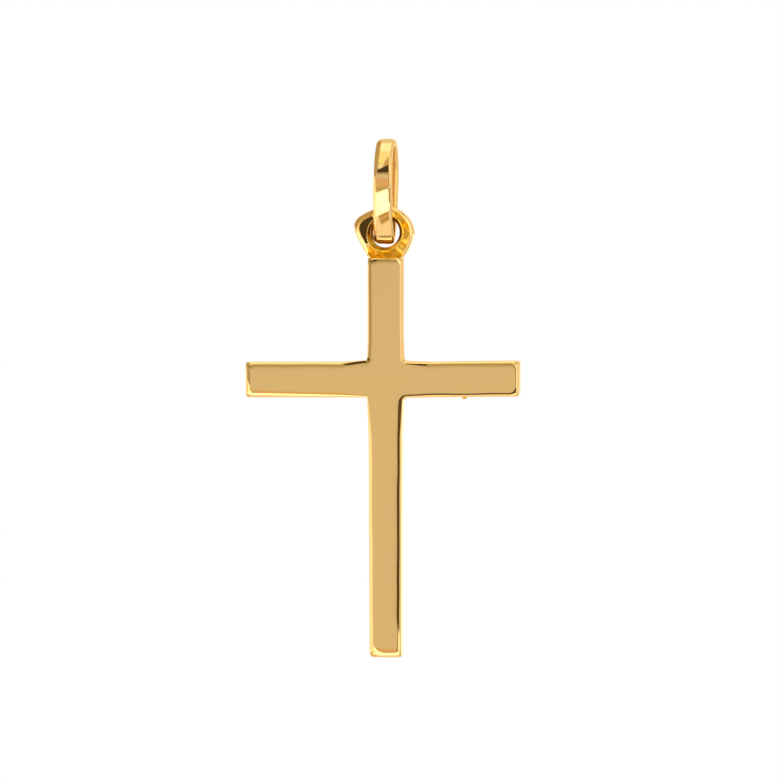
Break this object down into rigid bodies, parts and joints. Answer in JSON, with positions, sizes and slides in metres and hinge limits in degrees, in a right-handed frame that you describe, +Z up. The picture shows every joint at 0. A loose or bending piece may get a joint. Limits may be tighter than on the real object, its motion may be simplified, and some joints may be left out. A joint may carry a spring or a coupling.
{
  "type": "cross pendant",
  "caption": "Flat Latin cross pendant in yellow gold with soft polished edges, hanging from a band bail by a soldered eye.",
  "frame": {"origin": "highest point of the inside of the bail, where the chain lies", "axes": "+Z up from the cross to the bail, +X to the right seen from the front and along the chain, the polished front faces -Y"},
  "size_m": [0.0151, 0.0032, 0.0285],
  "materials": {
    "cross_gold": "yellow gold, mirror polished on the cross, as cast round the eye",
    "bail_gold": "yellow gold, mirror polished"
  },
  "bodies": {
    "bail": {"bail": "bail_gold"},
    "cross": {"cross": "cross_gold"}
  },
  "joints": [
    {"name": "cross_swing", "type": "hinge", "parent": "bail", "child": "cross", "pos_m": [0, 0, -0.00473], "axis": [0, 1, 0], "range_deg": [-90, 90]}
  ]
}
